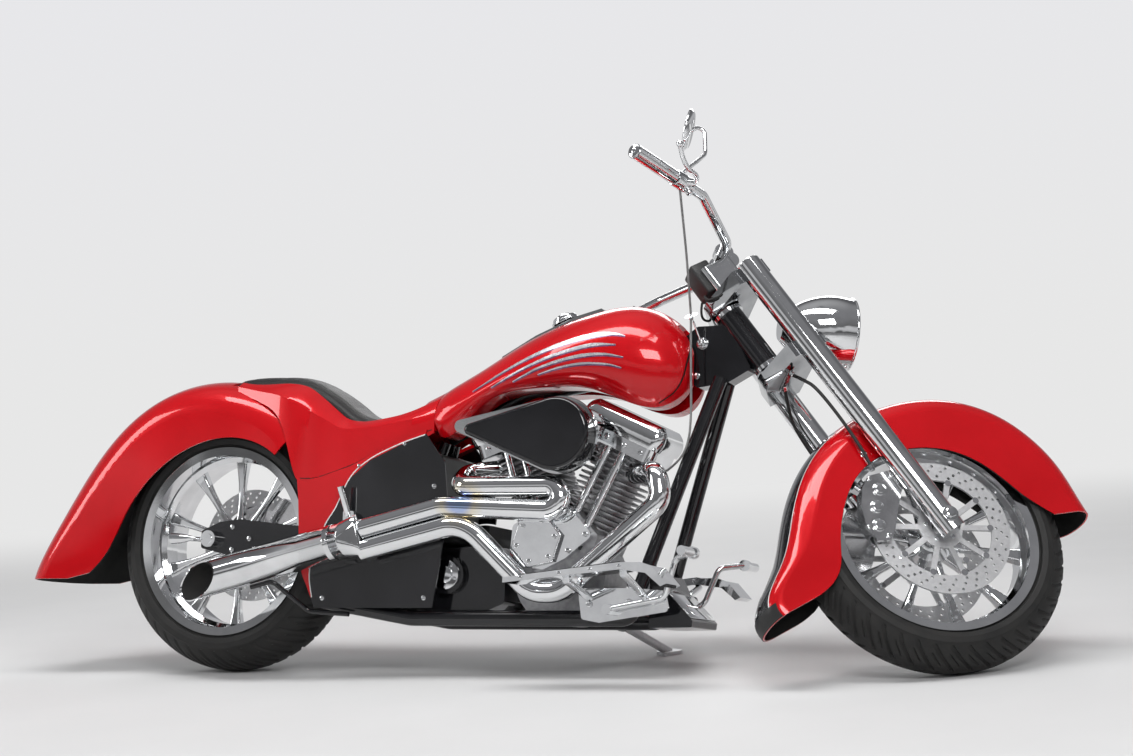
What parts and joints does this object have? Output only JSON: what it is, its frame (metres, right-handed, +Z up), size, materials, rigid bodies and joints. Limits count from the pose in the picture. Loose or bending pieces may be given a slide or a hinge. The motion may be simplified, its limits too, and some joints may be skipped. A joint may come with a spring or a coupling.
{
  "type": "chopper motorcycle",
  "caption": "Long low chopper motorcycle with a finned V engine, full metal fenders, a raked fork and a belt drive, leaning on its side stand.",
  "frame": {"origin": "on the floor, under the middle of the whole machine's box", "axes": "+X forward along the machine, +Y to the rider's left, +Z up from the floor"},
  "size_m": [2.73, 0.7638, 1.3222],
  "materials": {
    "red_paint": "gloss",
    "black_paint": "gloss",
    "engine_alloy": "satin",
    "polished_alloy": "polished",
    "chrome": "polished",
    "steel": "brushed",
    "seat_leather": "matte",
    "tyre_rubber": "matte",
    "black_rubber": "matte",
    "lens": "clear",
    "black_plastic": "matte"
  },
  "bodies": {
    "root": {"frame_neck": "black_paint", "neck_cups": "chrome", "downtubes": "black_paint", "lower_rails": "black_paint", "seat_posts": "black_paint", "chin_guard": "black_paint", "swingarm": "black_paint", "pivot_pin": "chrome", "rear_axle": "chrome", "rear_fender": "red_paint", "seat_base": "red_paint", "side_skirts": "red_paint", "side_panels": "black_paint", "oil_tank": "black_plastic", "seat": "seat_leather", "fuel_tank": "red_paint", "tank_dash": "chrome", "crankcase": "engine_alloy", "cylinders": "engine_alloy", "cylinder_heads": "engine_alloy", "rocker_boxes": "polished_alloy", "pushrod_tubes": "chrome", "cam_cover": "polished_alloy", "intake": "engine_alloy", "air_cleaner": "black_paint", "primary_cover": "polished_alloy", "gearbox": "engine_alloy", "drive_belt": "black_rubber", "exhaust_pipes": "chrome", "muffler": "chrome", "muffler_hanger": "steel", "footboards": "chrome", "foot_pedals": "chrome", "passenger_pegs": "chrome", "rear_caliper": "polished_alloy", "rear_lamps": "chrome"},
    "side_stand": {"side_stand": "steel"},
    "rear_wheel": {"rear_tyre": "tyre_rubber", "rear_rim": "polished_alloy", "rear_disc": "steel", "rear_pulley": "engine_alloy"},
    "steering": {"top_tree": "chrome", "lower_tree": "chrome", "fork_legs": "chrome", "handlebar": "chrome", "grips": "black_rubber", "hand_controls": "chrome", "mirrors": "chrome", "headlamp_shell": "chrome", "headlamp_glass": "lens", "front_axle": "steel", "front_fender": "red_paint", "front_calipers": "polished_alloy", "brake_hoses": "black_rubber"},
    "front_wheel": {"front_tyre": "tyre_rubber", "front_rim": "polished_alloy", "front_discs": "steel"}
  },
  "joints": [
    {"name": "side_stand_hinge", "type": "hinge", "parent": "root", "child": "side_stand", "pos_m": [0.24519, 0.07571, 0.08921], "axis": [0.0847, 0.5455, 0.8338], "range_deg": [0, 111.8]},
    {"name": "steering", "type": "hinge", "parent": "root", "child": "steering", "pos_m": [1.00418, -0.04087, 0.26159], "axis": [-0.5966, 0.1479, 0.7888], "range_deg": [-80, 0]},
    {"name": "front_wheel_spin", "type": "hinge", "parent": "steering", "child": "front_wheel", "pos_m": [1.03793, -0.0014, 0.27972], "axis": [-0.5173, 0.6806, -0.5188], "continuous": true},
    {"name": "rear_wheel_spin", "type": "hinge", "parent": "root", "child": "rear_wheel", "pos_m": [-0.76246, -0.03239, 0.3245], "axis": [-0.0019, 0.9826, -0.1857], "continuous": true}
  ]
}
